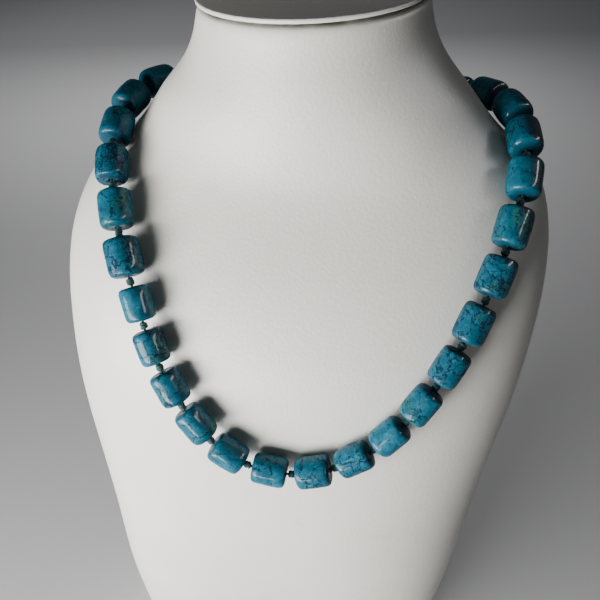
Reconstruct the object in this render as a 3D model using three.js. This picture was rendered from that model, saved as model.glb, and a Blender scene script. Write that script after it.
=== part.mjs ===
// A knotted strand of drum-shaped turquoise beads, laid round the neck bust that shows it.
// Millimetres, +Z up. The bust's chest faces -Y, and +X is on the viewer's right.

import * as THREE from 'three';

// Driving dimensions of the bust
const bustHeight = 318;
const bustWidth = 180;
const bustDepth = 104;
const footEdge = 1.5;
const neckEdge = 1.6;
const neckSlopeBack = THREE.MathUtils.degToRad(2.5);
const neckSlopeSide = THREE.MathUtils.degToRad(2.3);
const capThickness = 1.4;
const capOverhang = 0.5;
const capSeam = 0.3;

// Driving dimensions of the strand
const beadLength = 12.4;
const beadDiameter = 11;
const threadDiameter = 0.9;
const threadClearance = 0.3;
const knotDiameter = 2.3;
const strandShift = 1;
const seatGap = 0.3;
const claspLength = 26;
const claspDiameter = 7;
const claspHoleDepth = 4;

// How finely the round forms are divided
const bustSides = 48;
const ringsPerSection = 2;
const beadSides = 12;
const claspSides = 16;
const threadSides = 6;

// How finely the strand is measured and laid on the skin
const loopDivisions = 2000;
const seatPasses = 8;
const probeStep = 0.5;

// Bust sections from the foot to the neck's rim. height is a share of bustHeight, halfWidth and lean are
// shares of half of bustWidth, front and back are shares of bustDepth, and square is the oval's exponent.
const bustSections = [
  { height: 0.000, halfWidth: 0.835, lean: -0.168, front: 0.420, back: 0.343, square: 2.8 },
  { height: 0.068, halfWidth: 0.862, lean: -0.153, front: 0.445, back: 0.362, square: 2.8 },
  { height: 0.202, halfWidth: 0.905, lean: -0.126, front: 0.500, back: 0.401, square: 2.7 },
  { height: 0.336, halfWidth: 0.925, lean: -0.100, front: 0.531, back: 0.440, square: 2.5 },
  { height: 0.455, halfWidth: 0.957, lean: -0.090, front: 0.524, back: 0.474, square: 2.4 },
  { height: 0.565, halfWidth: 0.992, lean: -0.072, front: 0.504, back: 0.500, square: 2.4 },
  { height: 0.663, halfWidth: 1.003, lean: -0.050, front: 0.452, back: 0.516, square: 2.4 },
  { height: 0.743, halfWidth: 0.996, lean: -0.033, front: 0.345, back: 0.524, square: 2.4 },
  { height: 0.803, halfWidth: 0.938, lean: -0.010, front: 0.236, back: 0.529, square: 2.28 },
  { height: 0.838, halfWidth: 0.844, lean: 0.006, front: 0.182, back: 0.531, square: 2.16 },
  { height: 0.865, halfWidth: 0.728, lean: 0.010, front: 0.162, back: 0.530, square: 2.1 },
  { height: 0.889, halfWidth: 0.650, lean: 0.006, front: 0.152, back: 0.531, square: 2.08 },
  { height: 0.913, halfWidth: 0.583, lean: 0.001, front: 0.144, back: 0.534, square: 2.05 },
  { height: 0.940, halfWidth: 0.496, lean: -0.002, front: 0.134, back: 0.540, square: 2.02 },
  { height: 0.969, halfWidth: 0.442, lean: -0.006, front: 0.120, back: 0.549, square: 2.0 },
  { height: 1.000, halfWidth: 0.419, lean: -0.006, front: 0.112, back: 0.558, square: 2.0 },
];
const slopedNeck = 0.905;

// Route of the strand, closed, from the nape over the viewer's left shoulder to the chest and back up.
// across is a share of half of bustWidth, back of bustDepth and up of bustHeight. The strand rests on the
// skin beside each point.
const strandRoute = [
  { across: 0.000, back: 0.595, up: 0.870 },
  { across: -0.220, back: 0.575, up: 0.872 },
  { across: -0.412, back: 0.512, up: 0.873 },
  { across: -0.553, back: 0.430, up: 0.880 },
  { across: -0.671, back: 0.311, up: 0.890 },
  { across: -0.745, back: 0.184, up: 0.886 },
  { across: -0.749, back: 0.042, up: 0.871 },
  { across: -0.678, back: -0.192, up: 0.811 },
  { across: -0.578, back: -0.372, up: 0.738 },
  { across: -0.444, back: -0.493, up: 0.657 },
  { across: -0.228, back: -0.554, up: 0.583 },
  { across: -0.002, back: -0.534, up: 0.562 },
  { across: 0.266, back: -0.535, up: 0.589 },
  { across: 0.494, back: -0.464, up: 0.658 },
  { across: 0.646, back: -0.332, up: 0.735 },
  { across: 0.752, back: -0.165, up: 0.812 },
  { across: 0.795, back: 0.072, up: 0.874 },
  { across: 0.781, back: 0.215, up: 0.890 },
  { across: 0.697, back: 0.349, up: 0.888 },
  { across: 0.552, back: 0.428, up: 0.872 },
  { across: 0.415, back: 0.513, up: 0.868 },
  { across: 0.220, back: 0.575, up: 0.868 },
];

// Hand-cut beads differ a little. Each entry is one bead, counted from the clasp, as shares of beadLength
// and beadDiameter.
const beadCuts = [
  { length: 0.98, girth: 1.01 }, { length: 1.02, girth: 0.98 }, { length: 0.99, girth: 1.00 },
  { length: 1.00, girth: 1.00 }, { length: 0.98, girth: 1.03 }, { length: 1.00, girth: 1.02 },
  { length: 1.00, girth: 1.03 }, { length: 1.05, girth: 1.06 }, { length: 1.07, girth: 1.11 },
  { length: 0.96, girth: 0.96 }, { length: 0.95, girth: 0.96 }, { length: 0.97, girth: 0.98 },
  { length: 1.02, girth: 0.99 }, { length: 1.00, girth: 1.01 }, { length: 1.00, girth: 0.99 },
  { length: 0.98, girth: 1.02 }, { length: 0.97, girth: 0.96 }, { length: 0.96, girth: 0.95 },
  { length: 1.00, girth: 0.95 }, { length: 1.00, girth: 0.95 }, { length: 1.04, girth: 0.99 },
  { length: 1.05, girth: 1.02 }, { length: 1.05, girth: 1.04 }, { length: 1.03, girth: 1.04 },
  { length: 1.00, girth: 1.05 }, { length: 1.00, girth: 1.03 }, { length: 1.00, girth: 1.00 },
  { length: 0.99, girth: 1.01 }, { length: 1.01, girth: 0.98 }, { length: 0.98, girth: 1.00 },
];

// Outline of a drum bead from its middle to its end, as shares of half its length and of its radius
const beadOutline = [
  { along: 0.00, radius: 1.00 },
  { along: 0.66, radius: 0.975 },
  { along: 0.90, radius: 0.885 },
  { along: 1.00, radius: 0.69 },
];

// Outline of the barrel clasp in the same way
const claspOutline = [
  { along: 0.00, radius: 1.00 },
  { along: 0.55, radius: 0.96 },
  { along: 0.85, radius: 0.80 },
  { along: 1.00, radius: 0.60 },
];

// Thread between two beads: place along the gap, and how far the thread has swollen into the knot
const knotOutline = [
  { along: 0.00, swell: 0.0 },
  { along: 0.16, swell: 0.0 },
  { along: 0.28, swell: 0.75 },
  { along: 0.50, swell: 1.0 },
  { along: 0.72, swell: 0.75 },
  { along: 0.84, swell: 0.0 },
  { along: 1.00, swell: 0.0 },
];

const materials = {
  skin: new THREE.MeshStandardMaterial({ color: 0xe4e0d8, roughness: 0.55, metalness: 0 }),
  board: new THREE.MeshStandardMaterial({ color: 0xd6d3cc, roughness: 0.6, metalness: 0 }),
  stone: new THREE.MeshStandardMaterial({ color: 0x1f7a90, roughness: 0.25, metalness: 0 }),
  thread: new THREE.MeshStandardMaterial({ color: 0x10403f, roughness: 0.8, metalness: 0 }),
  clasp: new THREE.MeshStandardMaterial({ color: 0xb9b5ac, roughness: 0.35, metalness: 1 }),
};

// Value of one column of the section table at a share of the bust's height, smooth through every row
function columnAt(column, share) {
  const rows = bustSections;
  const slope = (i) => (rows[i + 1][column] - rows[i][column]) / (rows[i + 1].height - rows[i].height);
  const tangent = (i) => {
    if (i === 0) return slope(0);
    if (i === rows.length - 1) return slope(rows.length - 2);
    return (slope(i - 1) + slope(i)) / 2;
  };
  const place = THREE.MathUtils.clamp(share, 0, 1);
  let i = rows.findIndex((row, k) => k > 0 && place <= row.height) - 1;
  if (i < 0) i = 0;
  const span = rows[i + 1].height - rows[i].height;
  const t = (place - rows[i].height) / span;
  const rise = t * t * (3 - 2 * t);
  return rows[i][column] * (1 - rise) + rows[i + 1][column] * rise
    + span * (tangent(i) * t * (1 - t) * (1 - t) - tangent(i + 1) * t * t * (1 - t));
}

// The bust's oval at one height, in millimetres
function sectionAt(height) {
  const share = height / bustHeight;
  const front = -columnAt('front', share) * bustDepth;
  const back = columnAt('back', share) * bustDepth;
  return {
    halfWidth: columnAt('halfWidth', share) * bustWidth / 2,
    halfDepth: (back - front) / 2,
    centreX: columnAt('lean', share) * bustWidth / 2,
    centreY: (back + front) / 2,
    square: columnAt('square', share),
  };
}

// One ring of points round the oval. The neck's rim is sloped, and the slope fades out below it.
function ovalRing(height, grow = 0, lift = 0) {
  const oval = sectionAt(height);
  const slope = THREE.MathUtils.clamp((height / bustHeight - slopedNeck) / (1 - slopedNeck), 0, 1);
  const ring = [];
  for (let k = 0; k < bustSides; k += 1) {
    const angle = 2 * Math.PI * k / bustSides;
    const power = 2 / oval.square;
    const across = Math.sign(Math.cos(angle)) * Math.abs(Math.cos(angle)) ** power * (oval.halfWidth + grow);
    const back = Math.sign(Math.sin(angle)) * Math.abs(Math.sin(angle)) ** power * (oval.halfDepth + grow);
    const rise = slope * (back * Math.tan(neckSlopeBack) + across * Math.tan(neckSlopeSide));
    ring.push(new THREE.Vector3(oval.centreX + across, oval.centreY + back, height + lift + rise));
  }
  return ring;
}

// A closed solid through rings of points, each ring turning the same way round the direction of travel
function loft(rings) {
  const sides = rings[0].length;
  const points = rings.flat();
  const faces = [];
  for (let i = 0; i + 1 < rings.length; i += 1) {
    for (let k = 0; k < sides; k += 1) {
      const a = i * sides + k;
      const b = i * sides + (k + 1) % sides;
      faces.push(a, b, b + sides, a, b + sides, a + sides);
    }
  }
  const middle = (ring) => ring.reduce((sum, p) => sum.add(p), new THREE.Vector3()).divideScalar(sides);
  const first = points.push(middle(rings[0])) - 1;
  const last = points.push(middle(rings[rings.length - 1])) - 1;
  const end = (rings.length - 1) * sides;
  for (let k = 0; k < sides; k += 1) {
    const next = (k + 1) % sides;
    faces.push(first, next, k, last, end + k, end + next);
  }
  const geometry = new THREE.BufferGeometry();
  geometry.setAttribute('position', new THREE.Float32BufferAttribute(points.flatMap((p) => p.toArray()), 3));
  geometry.setIndex(faces);
  geometry.computeVertexNormals();
  return geometry;
}

// How far a point stands off the bust's skin, with the skin's outward direction there
function standOff(point) {
  const level = (x, y, z) => {
    const oval = sectionAt(z);
    const across = Math.abs((x - oval.centreX) / oval.halfWidth) ** oval.square;
    const back = Math.abs((y - oval.centreY) / oval.halfDepth) ** oval.square;
    return (across + back) ** (1 / oval.square) - 1;
  };
  const step = probeStep;
  const { x, y, z } = point;
  const gradient = new THREE.Vector3(
    level(x + step, y, z) - level(x - step, y, z),
    level(x, y + step, z) - level(x, y - step, z),
    level(x, y, z + step) - level(x, y, z - step),
  ).divideScalar(2 * step);
  return { distance: level(x, y, z) / gradient.length(), outward: gradient.normalize() };
}

// Moves a point straight off the bust until a piece of the given radius rests there
function seat(point, radius) {
  const seated = point.clone();
  for (let pass = 0; pass < seatPasses; pass += 1) {
    const { distance, outward } = standOff(seated);
    seated.addScaledVector(outward, radius + seatGap - distance);
  }
  return seated;
}

// A lathe profile from one end of a half outline to the other, along the lathe's axis
function mirrored(outline, halfLength, radius) {
  const half = outline.map((p) => new THREE.Vector2(p.radius * radius, p.along * halfLength));
  const below = half.slice(1).reverse().map((p) => new THREE.Vector2(p.x, -p.y));
  return [...below, ...half];
}

function drumBead(length, diameter) {
  const bore = threadDiameter / 2 + threadClearance;
  const half = length / 2;
  const profile = [new THREE.Vector2(bore, -half), ...mirrored(beadOutline, half, diameter / 2),
    new THREE.Vector2(bore, half), new THREE.Vector2(bore, -half)];
  return new THREE.LatheGeometry(profile, beadSides);
}

// One plain barrel with a blind hole at each end for the thread
function barrelClasp() {
  const bore = threadDiameter / 2 + threadClearance;
  const half = claspLength / 2;
  const floor = half - claspHoleDepth;
  const hole = [new THREE.Vector2(bore, half), new THREE.Vector2(bore, floor), new THREE.Vector2(0, floor)];
  const holeBelow = hole.map((p) => new THREE.Vector2(p.x, -p.y)).reverse();
  const profile = [...holeBelow, ...mirrored(claspOutline, half, claspDiameter / 2), ...hole];
  return new THREE.LatheGeometry(profile, claspSides);
}

function bustBody() {
  const heights = [];
  for (let i = 0; i + 1 < bustSections.length; i += 1) {
    for (let k = 0; k < ringsPerSection; k += 1) {
      const low = bustSections[i].height;
      const high = bustSections[i + 1].height;
      heights.push(bustHeight * (low + (high - low) * k / ringsPerSection));
    }
  }
  const top = bustHeight - neckEdge;
  const between = heights.filter((height) => height > 2 * footEdge && height < top - neckEdge);
  return loft([
    ovalRing(0, -footEdge),
    ovalRing(footEdge),
    ...between.map((height) => ovalRing(height)),
    ovalRing(top),
    ovalRing(bustHeight, -neckEdge),
  ]);
}

function bustCap() {
  const low = capSeam;
  const high = capSeam + capThickness;
  return loft([ovalRing(bustHeight, capOverhang, low), ovalRing(bustHeight, capOverhang, high)]);
}

// The loop starts and ends at the middle of the clasp, and the knots share what room the beads leave.
function strandPieces() {
  const seats = strandRoute.map(({ across, back, up }) => {
    const beside = new THREE.Vector3(across * bustWidth / 2, back * bustDepth, up * bustHeight);
    return seat(beside, beadDiameter / 2);
  });
  const loop = new THREE.CatmullRomCurve3(seats, true, 'centripetal');
  loop.arcLengthDivisions = loopDivisions;
  const loopLength = loop.getLength();
  const room = loopLength - claspLength;
  const count = beadCuts.length;
  const beadSum = beadCuts.reduce((sum, cut) => sum + cut.length * beadLength, 0);
  const knotGap = (room - beadSum) / (count + 1);
  const placed = (along, length, diameter) => {
    const onLoop = loop.getPointAt((along + strandShift) / loopLength);
    return { centre: seat(onLoop, diameter / 2), length, diameter };
  };
  const pieces = [placed(0, claspLength, claspDiameter)];
  let along = claspLength / 2;
  beadCuts.forEach((cut) => {
    const length = cut.length * beadLength;
    pieces.push(placed(along + knotGap + length / 2, length, cut.girth * beadDiameter));
    along += knotGap + length;
  });
  pieces.forEach((piece, i) => {
    const before = pieces[(i + count) % (count + 1)];
    const after = pieces[(i + 1) % (count + 1)];
    piece.axis = after.centre.clone().sub(before.centre).normalize();
  });
  return pieces;
}

// A ring of points round the thread, with its first point on the side away from the bust
function threadRing(centre, direction, radius) {
  const { outward } = standOff(centre);
  const side = new THREE.Vector3().crossVectors(direction, outward).normalize();
  const out = new THREE.Vector3().crossVectors(side, direction);
  const ring = [];
  for (let k = 0; k < threadSides; k += 1) {
    const angle = 2 * Math.PI * k / threadSides;
    ring.push(centre.clone().addScaledVector(out, radius * Math.cos(angle))
      .addScaledVector(side, radius * Math.sin(angle)));
  }
  return ring;
}

// One thread through every bead, swollen into a knot between each two, with both ends inside the clasp
function knottedThread(pieces) {
  const rings = [];
  const thin = threadDiameter / 2;
  const clasp = pieces[0];
  const inside = claspLength / 2 - claspHoleDepth + threadClearance;
  rings.push(threadRing(clasp.centre.clone().addScaledVector(clasp.axis, inside), clasp.axis, thin));
  pieces.forEach((piece, i) => {
    const next = pieces[(i + 1) % pieces.length];
    const leave = piece.centre.clone().addScaledVector(piece.axis, piece.length / 2);
    const enter = next.centre.clone().addScaledVector(next.axis, -next.length / 2);
    knotOutline.forEach(({ along, swell }) => {
      const centre = leave.clone().lerp(enter, along);
      const direction = piece.axis.clone().lerp(next.axis, along).normalize();
      rings.push(threadRing(centre, direction, thin + swell * (knotDiameter / 2 - thin)));
    });
  });
  rings.push(threadRing(clasp.centre.clone().addScaledVector(clasp.axis, -inside), clasp.axis, thin));
  return loft(rings);
}

function named(name, geometry, material) {
  const mesh = new THREE.Mesh(geometry, material);
  mesh.name = name;
  return mesh;
}

function turnedOn(mesh, piece) {
  mesh.position.copy(piece.centre);
  mesh.quaternion.setFromUnitVectors(new THREE.Vector3(0, 1, 0), piece.axis);
  return mesh;
}

const pieces = strandPieces();
const [clasp, ...beads] = pieces;
const model = new THREE.Group();
model.add(named('bust_body', bustBody(), materials.skin));
model.add(named('bust_cap', bustCap(), materials.board));
beads.forEach((bead, i) => {
  const name = `bead_${String(i + 1).padStart(2, '0')}`;
  model.add(turnedOn(named(name, drumBead(bead.length, bead.diameter), materials.stone.clone()), bead));
});
model.add(named('thread', knottedThread(pieces), materials.thread));
model.add(turnedOn(named('clasp', barrelClasp(), materials.clasp), clasp));

// The origin is under the middle of everything, on the surface that the bust stands on
const reach = new THREE.Box3().setFromObject(model, true);
const middle = reach.getCenter(new THREE.Vector3());
model.position.set(-middle.x, -middle.y, -reach.min.z);
model.updateMatrixWorld(true);

export default model;
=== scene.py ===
"""Turquoise drum beads knotted on a green thread, laid round a white neck bust."""

import math

import bpy
from mathutils import Matrix, Vector


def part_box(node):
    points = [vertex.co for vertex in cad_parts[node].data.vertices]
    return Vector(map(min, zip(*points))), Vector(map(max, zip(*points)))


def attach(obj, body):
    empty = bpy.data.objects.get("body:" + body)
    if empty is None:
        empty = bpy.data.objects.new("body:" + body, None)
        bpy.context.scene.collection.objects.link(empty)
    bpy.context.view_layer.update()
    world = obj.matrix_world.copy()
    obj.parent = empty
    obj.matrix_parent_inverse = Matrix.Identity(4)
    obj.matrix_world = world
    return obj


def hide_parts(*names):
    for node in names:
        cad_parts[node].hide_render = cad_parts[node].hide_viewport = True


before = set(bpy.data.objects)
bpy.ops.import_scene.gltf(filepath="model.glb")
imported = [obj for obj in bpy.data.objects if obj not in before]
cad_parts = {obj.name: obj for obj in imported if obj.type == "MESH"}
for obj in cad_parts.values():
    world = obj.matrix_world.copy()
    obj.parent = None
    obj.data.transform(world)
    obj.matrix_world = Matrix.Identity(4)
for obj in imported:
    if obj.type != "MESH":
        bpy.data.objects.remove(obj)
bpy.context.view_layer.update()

bl_info = {
    "name": "Knotted Turquoise Strand",
    "version": (1, 0, 0),
    "blender": (4, 5, 0),
    "location": "View3D > Sidebar > Strand",
    "description": "Builds a knotted strand of turquoise drum beads on its neck bust",
    "category": "Object",
}

BODY = "root"
MM = 0.001
BEAD_COUNT = 30

# Points closer than this are one point: in a turned profile, and in a mesh taken from the frame.
PROFILE_WELD = 1e-6
FRAME_WELD = 1e-5

# Faces that meet at less than this angle are shaded smooth.
TURNED_SMOOTH = math.radians(50)
CAP_SMOOTH = math.radians(40)

# How far apart the stretches of stone are that two beads in a row are cut from, in millimetres.
STONE_STEP = Vector((17.3, 5.9, 11.7))

# The level of the unevenness that leaves a bead's surface where it is.
LUMP_MIDDLE = 0.62

# The turns of a knot: height, tilt, lean and ring radius. Then the radius of a turn's thread, that of the
# ball of thread inside, and how far each knot is turned on from the last. Lengths are shares of the knot's
# radius, and angles are in radians.
KNOT_TURNS = (
    (-0.44, 0.22, 0.0, 0.50),
    (0.44, -0.22, 0.3, 0.50),
    (0.0, 0.45, 0.9, 0.60),
)
KNOT_PLY = 0.42
KNOT_HEART = 0.82
KNOT_TWIST = 1.7

# The lamps that look at the piece: azimuth and elevation in degrees from its front, then distance, width
# and height in metres.
LAMPS = {
    "key light": (-40, -5, 0.50, 0.42, 0.24),
    "streak light": (84, 32, 0.70, 0.70, 0.09),
    "glint light": (-24, -12, 0.50, 0.36, 0.07),
    "back light": (192, 22, 1.00, 0.40, 0.30),
}
KEY_SPREAD = math.radians(120)

# The floor, and the lamp that lights it behind the piece: its place, the point it looks at, its cone and
# the size of its bulb.
FLOOR_WIDTH = 12
FLOOR_LAMP = Vector((-0.45, 0.45, 1.10))
FLOOR_SPOT = Vector((-0.35, 1.15, 0))
FLOOR_CONE = math.radians(84)
FLOOR_BULB = 0.1

# The colour of the even light from all round.
EVEN_LIGHT = (0.95, 0.97, 1.0, 1)

# The sockets of a Mix node that are for colours.
MIX_SHARE = 0
MIX_FIRST = 6
MIX_SECOND = 7
MIX_RESULT = 2

# Half of a bead from its middle to its bore: height as a share of half its length, and radius as a share
# of its radius.
BEAD_PROFILE = (
    (0.00, 1.000),
    (0.30, 0.998),
    (0.50, 0.994),
    (0.64, 0.985),
    (0.74, 0.969),
    (0.82, 0.942),
    (0.88, 0.905),
    (0.925, 0.857),
    (0.958, 0.797),
    (0.981, 0.725),
    (0.994, 0.640),
    (1.00, 0.545),
    (1.00, 0.440),
    (0.997, 0.340),
    (0.985, 0.230),
    (0.960, 0.170),
    (0.920, 0.145),
)

# One row for each bead from the clasp round: how heavy its veins are, how green it is, how dark it is,
# and how many pale chips it has. The darkness is partly painted shade: it is heavier on the beads near the
# neck and up the right side, where less light falls.
BEAD_LOOKS = (
    (0.5, 0.2, 0.1, 0.0),
    (0.4, 0.1, 0.2, 0.0),
    (0.6, 0.3, 0.1, 0.0),
    (0.5, 0.3, 0.5, 0.0),
    (0.4, 0.1, 0.5, 0.0),
    (0.5, 0.2, 0.4, 0.0),
    (0.9, 0.2, 0.3, 0.3),
    (0.5, 0.5, 0.2, 0.0),
    (1.0, 0.1, 0.2, 0.0),
    (0.1, 0.1, 0.1, 0.0),
    (0.9, 0.6, 0.0, 0.2),
    (0.7, 0.4, 0.1, 0.0),
    (0.5, 0.5, 0.1, 0.2),
    (0.4, 0.2, 0.0, 0.0),
    (0.6, 0.2, 0.1, 0.0),
    (0.8, 0.1, 0.0, 0.0),
    (0.7, 0.1, 0.0, 0.2),
    (0.4, 0.1, 0.0, 0.0),
    (0.6, 0.4, 0.2, 0.0),
    (0.8, 0.1, 0.3, 0.3),
    (0.7, 0.3, 0.4, 0.0),
    (0.8, 0.2, 0.3, 0.0),
    (0.6, 0.8, 0.5, 0.0),
    (0.4, 0.2, 0.4, 0.2),
    (0.6, 0.5, 0.6, 0.0),
    (0.5, 0.2, 0.5, 0.0),
    (0.3, 0.1, 0.5, 0.0),
    (0.5, 0.1, 0.1, 0.0),
    (0.4, 0.3, 0.1, 0.0),
    (0.6, 0.2, 0.2, 0.0),
)

# Half of the barrel clasp from its blind hole round the outside to its middle: height as a share of half
# its length, and radius as a share of its radius.
CLASP_PROFILE = (
    (0.66, 0.20),
    (0.98, 0.22),
    (1.00, 0.30),
    (1.00, 0.50),
    (0.98, 0.58),
    (0.93, 0.66),
    (0.85, 0.78),
    (0.74, 0.87),
    (0.60, 0.93),
    (0.56, 0.92),
    (0.54, 0.86),
    (0.50, 0.86),
    (0.48, 0.94),
    (0.30, 0.98),
    (0.00, 1.00),
)


class Value:
    """One output of a material's nodes, which can be used in plain sums."""

    def __init__(self, graph, socket):
        self.graph = graph
        self.socket = socket

    def _sum(self, operation, *values):
        return self.graph.node("Math", {"operation": operation}, *values).value()

    def __add__(self, other):
        return self._sum("ADD", self, other)

    def __radd__(self, other):
        return self._sum("ADD", other, self)

    def __sub__(self, other):
        return self._sum("SUBTRACT", self, other)

    def __rsub__(self, other):
        return self._sum("SUBTRACT", other, self)

    def __mul__(self, other):
        return self._sum("MULTIPLY", self, other)

    def __truediv__(self, other):
        return self._sum("DIVIDE", self, other)


class Node:
    """A node of a material, with its outputs as values."""

    def __init__(self, graph, node):
        self.graph = graph
        self.node = node

    def value(self, name=0):
        return Value(self.graph, self.node.outputs[name])


class Graph:
    """The nodes of one new material."""

    def __init__(self, name):
        self.material = bpy.data.materials.new(name)
        self.material.use_nodes = True
        self.tree = self.material.node_tree
        self.tree.nodes.clear()

    def node(self, kind, settings=None, *ordered, **named):
        """Adds a node: its type, its settings, then its inputs by order or by name."""
        node = self.tree.nodes.new("ShaderNode" + kind)
        for key, value in (settings or {}).items():
            setattr(node, key, value)
        pairs = list(zip(node.inputs, ordered))
        pairs += [(node.inputs[key.replace("_", " ")], value) for key, value in named.items()]
        for socket, value in pairs:
            if isinstance(value, Value):
                self.tree.links.new(value.socket, socket)
            else:
                socket.default_value = value
        return Node(self, node)

    def place(self, scale, offset=(0, 0, 0)):
        """Where a point of the piece is, in millimetres times scale, moved by offset."""
        coords = self.node("TexCoord").value("Object")
        scales = (scale / MM,) * 3
        return self.node("Mapping", None, Vector=coords, Location=offset, Scale=scales).value()

    def along(self, axis):
        """How far along axis a point of the piece is, in metres."""
        coords = self.node("TexCoord").value("Object")
        return self.node("VectorMath", {"operation": "DOT_PRODUCT"}, coords, axis).value("Value")

    def noise(self, place, scale=1.0, detail=2.0, rough=0.5, out="Fac"):
        node = self.node("TexNoise", None, Vector=place, Scale=scale, Detail=detail, Roughness=rough)
        return node.value(out)

    def cells(self, place, scale=1.0, feature="DISTANCE_TO_EDGE"):
        return self.node("TexVoronoi", {"feature": feature}, Vector=place, Scale=scale).value("Distance")

    def step(self, value, low, high):
        """Zero below low, one above high, and a soft slope between."""
        settings = {"interpolation_type": "SMOOTHSTEP"}
        return self.node("MapRange", settings, Value=value, From_Min=low, From_Max=high).value()

    def moved(self, place, by, amount):
        """place, pushed about by a colour noise by up to half of amount."""
        centred = self.node("VectorMath", {"operation": "SUBTRACT"}, by, (0.5, 0.5, 0.5)).value()
        push = self.node("VectorMath", {"operation": "SCALE"}, Vector=centred, Scale=amount).value()
        return self.node("VectorMath", {"operation": "ADD"}, place, push).value()

    def mix(self, share, first, second):
        """The first colour where share is zero, and the second where it is one."""
        node = self.node("Mix", {"data_type": "RGBA"}).node
        for number, value in ((MIX_SHARE, share), (MIX_FIRST, first), (MIX_SECOND, second)):
            socket = node.inputs[number]
            if isinstance(value, Value):
                self.tree.links.new(value.socket, socket)
            elif isinstance(value, (int, float)):
                socket.default_value = value
            else:
                socket.default_value = (*value, 1)
        return Value(self, node.outputs[MIX_RESULT])

    def bump(self, height, distance, strength=1.0):
        return self.node("Bump", None, Height=height, Distance=distance, Strength=strength).value()

    def finish(self, **inputs):
        """Ends the material with one surface shader and returns it."""
        colour = inputs["Base_Color"]
        if not isinstance(colour, Value):
            inputs["Base_Color"] = (*colour, 1)
        shader = self.node("BsdfPrincipled", None, **inputs).value()
        self.node("OutputMaterial", None, Surface=shader)
        return self.material


def turquoise(name, look, number, middle, settings):
    """Polished turquoise with a dark web of veins. Every bead has its own stretch of stone. middle is
    the bead's centre, axis and half length: its drilled ends are duller, and darkened with painted shade
    where the neighbouring beads shade them."""
    veins, green, dark, chips = look
    centre, axis, half = middle
    graph = Graph(name)
    stone = graph.place(1.0, STONE_STEP * number)
    bent = graph.moved(stone, graph.noise(stone, scale=0.18, detail=3.0, rough=0.6, out="Color"), 7.0)
    ragged = graph.moved(bent, graph.noise(stone, scale=0.9, detail=4.0, rough=0.7, out="Color"), 1.6)

    patch = graph.noise(stone, scale=0.15, detail=2.0, rough=0.5)
    cloud = graph.noise(bent, scale=0.30, detail=4.0, rough=0.6)
    mottle = graph.noise(ragged, scale=0.85, detail=4.0, rough=0.65)
    speck = graph.noise(stone, scale=2.4, detail=3.0, rough=0.7)

    crowd = graph.step(cloud * 0.5 + patch * 0.5, 0.56 - 0.14 * veins, 0.66 - 0.14 * veins)
    long_crack = 1 - graph.step(graph.cells(ragged, 0.17), 0.015, 0.055)
    crack = 1 - graph.step(graph.cells(ragged, 0.42), 0.03, 0.11)
    hair = 1 - graph.step(graph.cells(ragged, 1.0), 0.04, 0.19)
    broken = graph.step(mottle, 0.40, 0.54)
    cracks = long_crack * (0.30 + 0.70 * veins) + crack * crowd * (0.35 + 0.65 * veins)
    cracks = cracks + hair * crowd * 0.55 * veins
    stain = graph.step(mottle * 0.6 + speck * 0.4, 0.60 - 0.10 * veins, 0.70 - 0.06 * veins)
    stained = stain * (0.25 + crowd * 0.75) * (0.25 + 0.55 * veins)
    web = graph.step(cracks * (broken * 0.7 + 0.3) + stained, 0.05, 0.95)

    blue = graph.mix(graph.step(cloud, 0.28, 0.70), settings.deep_blue, settings.light_blue)
    green_patch = graph.step(patch + speck * 0.15, 0.72 - 0.3 * green, 0.86 - 0.3 * green)
    greened = graph.mix(green_patch, blue, settings.green)
    mottled = graph.mix(graph.step(mottle, 0.40, 0.62) * 0.65, greened, settings.deep_blue)
    # Each bead's own darkness, partly painted shade on the beads near the neck and on the right.
    dimmed = graph.mix(dark * 0.7, mottled, settings.shade)
    veined = graph.mix(web * 0.88, dimmed, settings.vein)
    pits = graph.noise(stone, scale=0.55, detail=2.0, rough=0.5)
    chip = graph.step(pits, 0.76 - 0.10 * chips, 0.80 - 0.10 * chips) * min(1, chips * 4)
    colour = graph.mix(chip * 0.7, veined, settings.chip)

    # Painted shade: the colour darkens towards the drilled ends, where neighbouring beads shade them.
    either_way = {"operation": "ABSOLUTE"}
    from_middle = graph.node("Math", either_way, graph.along(axis) - centre.dot(axis)).value()
    end = graph.step(from_middle / half, 0.86, 1.0)
    painted_shade = graph.mix(end * settings.painted_end_shade, colour, settings.shade)

    height = web * -0.7 + chip * -1.0 + mottle * 0.6
    return graph.finish(
        Base_Color=painted_shade,
        Roughness=web * 0.15 + chip * 0.2 + speck * 0.12 + end * 0.15 + settings.polish,
        IOR=1.38,
        Specular_IOR_Level=0.12,
        Coat_Weight=0.50 - web * 0.30 - end * 0.20,
        Coat_IOR=1.35,
        Coat_Roughness=0.10,
        Normal=graph.bump(height, 0.09 * MM, 0.7),
    )


def twisted_thread(settings):
    graph = Graph("twisted_green_thread")
    place = graph.place(1.0)
    strands = graph.noise(place, scale=2.6, detail=3.0, rough=0.6)
    colour = graph.mix(graph.step(strands, 0.3, 0.7), settings.dark, settings.light)
    return graph.finish(Base_Color=colour, Roughness=0.75, Normal=graph.bump(strands, 0.12 * MM))


def satin_metal(settings):
    graph = Graph("satin metal")
    grain = graph.noise(graph.place(2.0), scale=3.0, detail=2.0)
    return graph.finish(
        Base_Color=settings.colour,
        Metallic=1.0,
        Roughness=grain * 0.15 + 0.25,
        Normal=graph.bump(grain, 0.01 * MM),
    )


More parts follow.
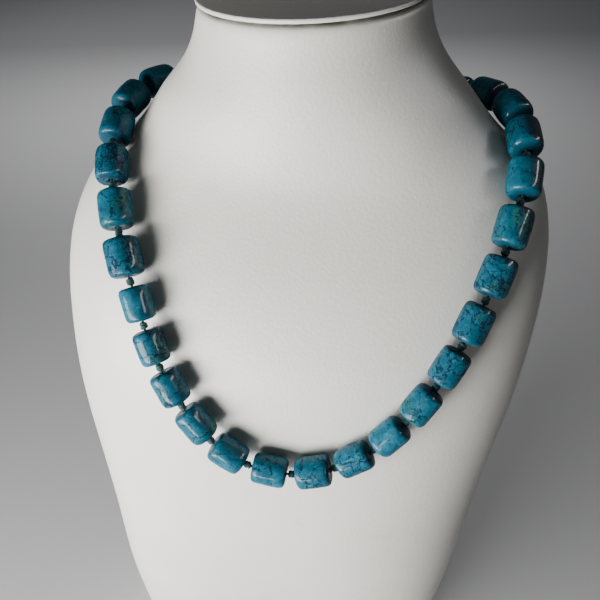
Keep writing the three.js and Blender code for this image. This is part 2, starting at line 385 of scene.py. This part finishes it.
def leatherette(name, colour, rim, settings):
    """White artificial leather with a fine pebbled grain and faint handling marks. Along the neck's seam
    below the cap lies painted shade, brown like dirt, with a soft painted shadow fading down from it in
    patches.
    rim is the cap's upright direction and how far along it the cap's underside is."""
    upright, underside = rim
    graph = Graph(name)
    place = graph.place(1.0)
    pebble = graph.cells(place, 0.9, "F1")
    crease = graph.noise(place, scale=1.6, detail=4.0, rough=0.6)
    broad = graph.noise(place, scale=0.018, detail=3.0, rough=0.5)
    handled = graph.noise(place, scale=0.05, detail=5.0, rough=0.7)
    mark = graph.step(handled, 0.56, 0.74)
    # Patches where the painted shade and dirt in the seam, and the painted shadow below the cap, are
    # heavier.
    painted_shade = graph.noise(place, scale=0.09, detail=4.0, rough=0.6)

    above = (graph.along(upright) - underside) / MM
    under = 1 - graph.step(above, 0.02, 0.12)
    # Painted shade in the seam below the cap, brown like dirt.
    seam = graph.step(above, -1.9, -0.5) * under
    seam_shade_and_grime = seam * (graph.step(painted_shade, 0.36, 0.62) * 0.55 + 0.45)
    # Painted shadow of the cap, fading down from the seam in patches.
    shadow_below_cap = graph.step(above, -9.0, -1.0) * under * graph.step(painted_shade, 0.50, 0.70)

    shade = graph.mix(graph.step(broad, 0.3, 0.7), colour, settings.shade)
    # The mark colour paints both the handling marks and the painted shadow below the cap.
    marked = graph.mix(mark * 0.25 + shadow_below_cap * 0.35, shade, settings.mark)
    seamed = graph.mix(seam_shade_and_grime * 0.92, marked, settings.seam_shade_and_grime)
    height = pebble * -0.5 + crease * 0.6
    return graph.finish(
        Base_Color=seamed,
        Roughness=crease * 0.12 + mark * 0.05 + 0.36,
        Normal=graph.bump(height, settings.grain_depth, 0.6),
    )


def plain_floor(settings):
    graph = Graph("plain floor")
    return graph.finish(Base_Color=settings.floor, Roughness=0.9)


def deselect():
    if bpy.context.mode != "OBJECT":
        bpy.ops.object.mode_set(mode="OBJECT")
    bpy.ops.object.select_all(action="DESELECT")


def choose(piece):
    deselect()
    piece.select_set(True)
    bpy.context.view_layer.objects.active = piece


def turned(name, profile, sides):
    """A round piece about Z, built up ring by ring from (height, radius) in metres. A closed profile
    ends on its first ring."""
    deselect()
    height, radius = profile[0]
    bpy.ops.mesh.primitive_circle_add(vertices=sides, radius=radius, location=(0, 0, height))
    piece = bpy.context.object
    bpy.ops.object.transform_apply()
    bpy.ops.object.mode_set(mode="EDIT")
    bpy.ops.mesh.select_all(action="SELECT")
    for next_height, next_radius in profile[1:]:
        rise = {"value": (0, 0, next_height - height)}
        bpy.ops.mesh.extrude_region_move(TRANSFORM_OT_translate=rise)
        bpy.ops.transform.resize(value=(next_radius / radius, next_radius / radius, 1))
        height, radius = next_height, next_radius
    bpy.ops.mesh.select_all(action="SELECT")
    bpy.ops.mesh.remove_doubles(threshold=PROFILE_WELD)
    bpy.ops.mesh.normals_make_consistent(inside=False)
    bpy.ops.object.mode_set(mode="OBJECT")
    bpy.ops.object.shade_smooth_by_angle(angle=TURNED_SMOOTH)
    piece.name = piece.data.name = name
    return piece


def both_ends(upper):
    """A closed profile from the half above the middle: up the outside, and back down the bore."""
    lower = [(-height, radius) for height, radius in reversed(upper[1:])]
    return lower + list(upper) + [lower[0]]


def copied(piece, name):
    choose(piece)
    bpy.ops.object.duplicate()
    copy = bpy.context.object
    copy.name = copy.data.name = name
    return copy


def put(piece, matrix):
    """Moves a piece to its place and keeps that place in its mesh."""
    choose(piece)
    piece.matrix_world = matrix
    bpy.context.view_layer.update()
    bpy.ops.object.transform_apply()


def apply_all(piece):
    """Applies every modifier of a piece."""
    choose(piece)
    for modifier in list(piece.modifiers):
        bpy.ops.object.modifier_apply(modifier=modifier.name)


def joined(name, parts):
    deselect()
    for part in parts:
        part.select_set(True)
    bpy.context.view_layer.objects.active = parts[0]
    bpy.ops.object.join()
    piece = bpy.context.object
    piece.name = piece.data.name = name
    return piece


def dressed(piece, material, slot, *nodes):
    """Gives a finished piece its material and its place in the frame."""
    piece.data.materials.clear()
    piece.data.materials.append(material)
    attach(piece, BODY)
    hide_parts(*nodes)


def on_axis(centre, axis, turn=0.0):
    """The matrix that puts a piece turned about Z at centre, along axis."""
    aimed = axis.to_track_quat("Z", "Y").to_matrix().to_4x4()
    return Matrix.Translation(centre) @ aimed @ Matrix.Rotation(turn, 4, "Z")


def strand_places():
    """Centre, axis, half length and radius of every piece on the thread, from the clasp round."""
    names = ["clasp"] + [f"bead_{i:02d}" for i in range(1, BEAD_COUNT + 1)]
    centres = []
    for name in names:
        low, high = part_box(name)
        centres.append((low + high) / 2)
    places = []
    for i, name in enumerate(names):
        before = centres[i - 1]
        after = centres[(i + 1) % len(names)]
        axis = (after - before).normalized()
        offsets = [vertex.co - centres[i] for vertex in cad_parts[name].data.vertices]
        half = max(offset.dot(axis) for offset in offsets)
        radius = max((offset - axis * offset.dot(axis)).length for offset in offsets)
        places.append((name, centres[i], axis, half, radius))
    return places


def colour_property(name, description, default):
    return bpy.props.FloatVectorProperty(
        name=name, description=description, subtype="COLOR", default=default
    )


def length_property(name, description, default):
    return bpy.props.FloatProperty(name=name, description=description, unit="LENGTH", default=default)


def power_property(name, description, default):
    return bpy.props.FloatProperty(name=name, description=description, unit="POWER", default=default)


class BeadSettings(bpy.types.PropertyGroup):
    sides: bpy.props.IntProperty(name="Sides", description="Divisions round each bead", default=48)
    unevenness: length_property("Unevenness", "How far hand cutting leaves the surface off true", 0.00035)
    lump_size: length_property("Lump Size", "Width of the uneven places", 0.006)
    polish: bpy.props.FloatProperty(
        name="Polish", description="Roughness of the stone under its polish", default=0.45
    )
    # Painted shade: how far the drilled ends are darkened, where neighbouring beads shade them.
    painted_end_shade: bpy.props.FloatProperty(
        name="End Shade", description="How dark the drilled ends are", default=0.6
    )
    deep_blue: colour_property("Deep Blue", "Darker blue of the stone", (0.006, 0.078, 0.128))
    light_blue: colour_property("Light Blue", "Lighter blue of the stone", (0.020, 0.190, 0.275))
    green: colour_property("Green", "Green patches of the stone", (0.022, 0.175, 0.165))
    # Also the colour that the painted shade on the shaded beads and on the drilled ends darkens towards.
    shade: colour_property("Shade", "Darkest blue of the stone itself", (0.003, 0.035, 0.055))
    vein: colour_property("Vein", "Colour of the dark veins", (0.003, 0.011, 0.032))
    chip: colour_property("Chip", "Colour of the small brown-grey chips", (0.12, 0.11, 0.09))


class ThreadSettings(bpy.types.PropertyGroup):
    thickness: length_property("Thickness", "Diameter of the thread", 0.0009)
    tail: length_property("Tail", "Thread inside each end of the clasp", 0.003)
    knot: length_property("Knot", "Diameter of a knot", 0.0028)
    dark: colour_property("Dark", "Thread between its plies", (0.005, 0.036, 0.038))
    light: colour_property("Light", "Thread on its plies", (0.013, 0.090, 0.096))


class ClaspSettings(bpy.types.PropertyGroup):
    sides: bpy.props.IntProperty(name="Sides", description="Divisions round the barrel", default=48)
    colour: colour_property("Colour", "Colour of the metal", (0.62, 0.61, 0.58))


class BustSettings(bpy.types.PropertyGroup):
    smoothing: bpy.props.IntProperty(
        name="Smoothing", description="Subdivision levels of the bust", default=2
    )
    cap_edge: length_property("Cap Edge", "Rounding of the cap's edges", 0.0005)
    grain_depth: length_property("Grain Depth", "Depth of the pebbled grain", 0.00012)
    colour: colour_property("Colour", "Leatherette of the bust", (0.78, 0.765, 0.70))
    shade: colour_property("Shade", "Slightly greyer leatherette", (0.74, 0.725, 0.66))
    # Also the colour of the painted shadow below the cap.
    mark: colour_property("Mark", "Faint handling marks", (0.62, 0.59, 0.54))
    # Painted shade in the seam below the cap, brown like dirt.
    seam_shade_and_grime: colour_property("Grime", "Brown line in the seam below the cap", (0.085, 0.068, 0.052))
    # Painted shade: the same white leatherette made a little greyer, for the cap's top, which faces away
    # from the lamps.
    cap_colour: colour_property("Cap Colour", "Leatherette of the neck's top", (0.74, 0.72, 0.68))


class StageSettings(bpy.types.PropertyGroup):
    azimuth: bpy.props.FloatProperty(
        name="Azimuth", description="Camera to the right of the front, in degrees", default=8.94
    )
    elevation: bpy.props.FloatProperty(
        name="Elevation", description="Camera above the horizon, in degrees", default=36.82
    )
    roll: bpy.props.FloatProperty(
        name="Roll", description="Camera turned about its line of sight, in degrees", default=-1.08
    )
    distance: length_property("Distance", "Camera to the point it looks at", 0.25535)
    aim: bpy.props.FloatVectorProperty(
        name="Aim",
        description="Point the camera looks at",
        default=(0.00153, -0.00075, 0.21119),
        unit="LENGTH",
    )
    lens: bpy.props.FloatProperty(
        name="Lens", description="Focal length in millimetres", default=39.03, unit="CAMERA"
    )
    key_power: power_property("Key Power", "Watts of the broad light on the front left", 3.45)
    streak_power: power_property(
        "Streak Power", "Watts of the narrow light on the right, seen in polish only", 3.7
    )
    glint_power: power_property(
        "Glint Power", "Watts of the narrow light in front, seen in polish only", 2.3
    )
    back_power: power_property("Back Power", "Watts of the light on the back", 3.4)
    floor_power: power_property("Floor Power", "Watts of the light on the floor", 20)
    ambient: bpy.props.FloatProperty(
        name="Ambient", description="Strength of the even light all round", default=0.06
    )
    floor: colour_property("Floor", "Colour of the plain floor", (0.55, 0.55, 0.56))


class STRAND_OT_beads(bpy.types.Operator):
    """Turn the drum beads, set them on the thread's line and polish them"""

    bl_idname = "strand.beads"
    bl_label = "Drum Beads"

    def execute(self, context):
        settings = context.scene.strand_beads
        unevenness = bpy.data.textures.new("hand-cut unevenness", "CLOUDS")
        unevenness.noise_scale = settings.lump_size
        unevenness.noise_depth = 1
        pattern = turned("bead pattern", both_ends(BEAD_PROFILE), settings.sides)
        for number, (name, centre, axis, half, radius) in enumerate(strand_places()[1:]):
            bead = copied(pattern, f"drum_{name[-2:]}")
            size = Matrix.Diagonal((radius, radius, half, 1))
            put(bead, on_axis(centre, axis) @ size)
            lumps = bead.modifiers.new("unevenness", "DISPLACE")
            lumps.texture = unevenness
            lumps.strength = settings.unevenness
            lumps.mid_level = LUMP_MIDDLE
            apply_all(bead)
            middle = (centre, axis, half)
            stone = turquoise(f"stone {name}", BEAD_LOOKS[number], number, middle, settings)
            dressed(bead, stone, "turquoise", name)
        choose(pattern)
        bpy.ops.object.delete()
        return {"FINISHED"}


class STRAND_OT_thread(bpy.types.Operator):
    """Run the thread through the beads and tie a knot in each gap"""

    bl_idname = "strand.thread"
    bl_label = "Knotted Thread"

    def execute(self, context):
        settings = context.scene.strand_thread
        places = strand_places()
        deselect()
        bpy.ops.curve.primitive_nurbs_path_add()
        line = bpy.context.object
        line.data.splines.clear()
        spline = line.data.splines.new("POLY")
        starts = [centre - axis * half for _, centre, axis, half, _ in places]
        ends = [centre + axis * half for _, centre, axis, half, _ in places]
        gaps = list(zip(ends, starts[1:] + starts[:1]))
        clasp_axis = places[0][2]
        tail = clasp_axis * settings.tail
        route = [ends[0] - tail]
        for leave, enter in gaps:
            route += [leave, enter]
        route.append(starts[0] + tail)
        spline.points.add(len(route) - 1)
        for point, place in zip(spline.points, route):
            point.co = (*place, 1)
        line.data.bevel_depth = settings.thickness / 2
        line.data.bevel_resolution = 3
        line.data.use_fill_caps = True
        bpy.ops.object.convert(target="MESH")
        parts = [bpy.context.object]
        knot = self.knot(settings.knot / 2)
        for number, (leave, enter) in enumerate(gaps):
            tied = copied(knot, "knot")
            put(tied, on_axis((leave + enter) / 2, (enter - leave).normalized(), number * KNOT_TWIST))
            parts.append(tied)
        choose(knot)
        bpy.ops.object.delete()
        piece = joined("knotted_thread", parts)
        dressed(piece, twisted_thread(settings), "thread", "thread")
        return {"FINISHED"}

    def knot(self, radius):
        """Turns of thread drawn tight over a ball of it."""
        turns = []
        for height, tilt, lean, size in KNOT_TURNS:
            deselect()
            bpy.ops.mesh.primitive_torus_add(
                major_segments=24,
                minor_segments=10,
                major_radius=size * radius,
                minor_radius=KNOT_PLY * radius,
                location=(0, 0, height * radius),
                rotation=(tilt, 0, lean),
            )
            bpy.ops.object.transform_apply()
            turns.append(bpy.context.object)
        deselect()
        bpy.ops.mesh.primitive_uv_sphere_add(segments=16, ring_count=10, radius=KNOT_HEART * radius)
        turns.append(bpy.context.object)
        piece = joined("knot pattern", turns)
        bpy.ops.object.shade_smooth()
        return piece


class STRAND_OT_clasp(bpy.types.Operator):
    """Turn the barrel clasp at the nape"""

    bl_idname = "strand.clasp"
    bl_label = "Barrel Clasp"

    def execute(self, context):
        settings = context.scene.strand_clasp
        _, centre, axis, half, radius = strand_places()[0]
        upper = [(high * half, wide * radius) for high, wide in CLASP_PROFILE]
        profile = upper + [(-high, wide) for high, wide in reversed(upper[:-1])]
        barrel = turned("barrel_clasp", profile, settings.sides)
        bpy.ops.object.mode_set(mode="EDIT")
        bpy.ops.mesh.select_all(action="DESELECT")
        bpy.ops.mesh.select_non_manifold(
            extend=False, use_wire=False, use_multi_face=False, use_non_contiguous=False
        )
        bpy.ops.mesh.edge_face_add()
        bpy.ops.mesh.select_all(action="SELECT")
        bpy.ops.mesh.normals_make_consistent(inside=False)
        bpy.ops.object.mode_set(mode="OBJECT")
        put(barrel, on_axis(centre, axis))
        dressed(barrel, satin_metal(settings), "clasp_metal", "clasp")
        return {"FINISHED"}


class STRAND_OT_bust(bpy.types.Operator):
    """Smooth the neck bust and its cap and cover them"""

    bl_idname = "strand.bust"
    bl_label = "Neck Bust"

    def execute(self, context):
        settings = context.scene.strand_bust
        rim = self.rim()
        body = self.taken("bust_body", "covered_bust")
        finer = body.modifiers.new("smoothing", "SUBSURF")
        finer.levels = finer.render_levels = settings.smoothing
        apply_all(body)
        bpy.ops.object.shade_smooth()
        skin = leatherette("white leatherette", settings.colour, rim, settings)
        dressed(body, skin, "leatherette", "bust_body")
        cap = self.taken("bust_cap", "neck_cap")
        edge = cap.modifiers.new("soft edge", "BEVEL")
        edge.width = settings.cap_edge
        edge.segments = 3
        apply_all(cap)
        bpy.ops.object.shade_smooth_by_angle(angle=CAP_SMOOTH)
        # The cap's leatherette is a little greyer than the body's: painted shade on its top.
        top = leatherette("cap leatherette", settings.cap_colour, rim, settings)
        dressed(cap, top, "neck_board", "bust_cap")
        return {"FINISHED"}

    def rim(self):
        """The cap's upright direction, and how far along it the cap's underside is."""
        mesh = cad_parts["bust_cap"].data
        upright = max(mesh.polygons, key=lambda face: face.normal.z * face.area).normal.copy()
        return upright, min(vertex.co.dot(upright) for vertex in mesh.vertices)

    def taken(self, node, name):
        """A copy of one piece of the frame, with its triangles joined to quads."""
        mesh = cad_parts[node].data.copy()
        piece = bpy.data.objects.new(name, mesh)
        mesh.name = name
        bpy.context.scene.collection.objects.link(piece)
        choose(piece)
        bpy.ops.object.mode_set(mode="EDIT")
        bpy.ops.mesh.select_all(action="SELECT")
        bpy.ops.mesh.remove_doubles(threshold=FRAME_WELD)
        bpy.ops.mesh.tris_convert_to_quads()
        bpy.ops.mesh.normals_make_consistent(inside=False)
        bpy.ops.object.mode_set(mode="OBJECT")
        return piece


class STRAND_OT_stage(bpy.types.Operator):
    """Lay the floor, set the lights and place the camera"""

    bl_idname = "strand.stage"
    bl_label = "Stage"

    def execute(self, context):
        settings = context.scene.strand_stage
        deselect()
        bpy.ops.mesh.primitive_plane_add(size=FLOOR_WIDTH, location=(0, 0, 0))
        floor = bpy.context.object
        floor.name = "floor"
        floor.data.materials.append(plain_floor(settings))

        aim = Vector(settings.aim)
        self.light("key light", aim, settings.key_power).data.spread = KEY_SPREAD
        self.light("streak light", aim, settings.streak_power).visible_diffuse = False
        self.light("glint light", aim, settings.glint_power).visible_diffuse = False
        self.light("back light", aim, settings.back_power).visible_glossy = False
        self.floor_light(settings.floor_power)
        world = bpy.data.worlds.new("even light")
        world.use_nodes = True
        background = world.node_tree.nodes["Background"]
        background.inputs["Color"].default_value = EVEN_LIGHT
        background.inputs["Strength"].default_value = settings.ambient
        context.scene.world = world

        away = self.towards(settings.azimuth, settings.elevation)
        bpy.ops.object.camera_add(location=aim + away * settings.distance)
        camera = bpy.context.object
        camera.rotation_mode = "QUATERNION"
        roll = Matrix.Rotation(math.radians(settings.roll), 4, "Z").to_quaternion()
        camera.rotation_quaternion = (-away).to_track_quat("-Z", "Y") @ roll
        camera.data.lens = settings.lens
        camera.data.clip_start = 0.01
        context.scene.camera = camera
        return {"FINISHED"}

    def towards(self, azimuth, elevation):
        """The direction of a camera or a lamp, seen from the piece."""
        turn = math.radians(azimuth)
        rise = math.radians(elevation)
        reach = math.cos(rise)
        return Vector((math.sin(turn) * reach, -math.cos(turn) * reach, math.sin(rise)))

    def lamp(self, kind, name, place, sight, power):
        """A lamp of one kind at place, which looks along sight."""
        bpy.ops.object.light_add(type=kind, location=place)
        light = bpy.context.object
        light.name = light.data.name = name
        light.rotation_mode = "QUATERNION"
        light.rotation_quaternion = sight.to_track_quat("-Z", "Y")
        light.data.energy = power
        light.visible_camera = False
        return light

    def floor_light(self, power):
        light = self.lamp("SPOT", "floor light", FLOOR_LAMP, FLOOR_SPOT - FLOOR_LAMP, power)
        light.data.spot_size = FLOOR_CONE
        light.data.spot_blend = 1.0
        light.data.shadow_soft_size = FLOOR_BULB

    def light(self, name, aim, power):
        """One of the lamps that look at the piece."""
        azimuth, elevation, distance, width, height = LAMPS[name]
        away = self.towards(azimuth, elevation)
        light = self.lamp("AREA", name, aim + away * distance, -away, power)
        light.data.shape = "RECTANGLE"
        light.data.size, light.data.size_y = width, height
        return light


class STRAND_PT_panel(bpy.types.Panel):
    """Every piece of the strand and its bust"""

    bl_idname = "STRAND_PT_panel"
    bl_label = "Strand"
    bl_space_type = "VIEW_3D"
    bl_region_type = "UI"
    bl_category = "Strand"

    def draw(self, context):
        for group, operator in PIECES:
            settings = getattr(context.scene, group)
            box = self.layout.box()
            for key in settings.bl_rna.properties.keys():
                if key not in {"rna_type", "name"}:
                    box.prop(settings, key)
            box.operator(operator)


GROUPS = (
    ("strand_bust", BustSettings),
    ("strand_beads", BeadSettings),
    ("strand_thread", ThreadSettings),
    ("strand_clasp", ClaspSettings),
    ("strand_stage", StageSettings),
)
OPERATORS = (STRAND_OT_bust, STRAND_OT_beads, STRAND_OT_thread, STRAND_OT_clasp, STRAND_OT_stage)
PIECES = tuple((group, operator.bl_idname) for (group, _), operator in zip(GROUPS, OPERATORS))


def register():
    for name, group in GROUPS:
        bpy.utils.register_class(group)
        setattr(bpy.types.Scene, name, bpy.props.PointerProperty(type=group))
    for operator in OPERATORS:
        bpy.utils.register_class(operator)
    bpy.utils.register_class(STRAND_PT_panel)


def unregister():
    bpy.utils.unregister_class(STRAND_PT_panel)
    for operator in reversed(OPERATORS):
        bpy.utils.unregister_class(operator)
    for name, group in reversed(GROUPS):
        delattr(bpy.types.Scene, name)
        bpy.utils.unregister_class(group)


def main():
    register()
    bpy.ops.strand.bust()
    bpy.ops.strand.beads()
    bpy.ops.strand.thread()
    bpy.ops.strand.clasp()
    bpy.ops.strand.stage()


if __name__ == "__main__":
    main()
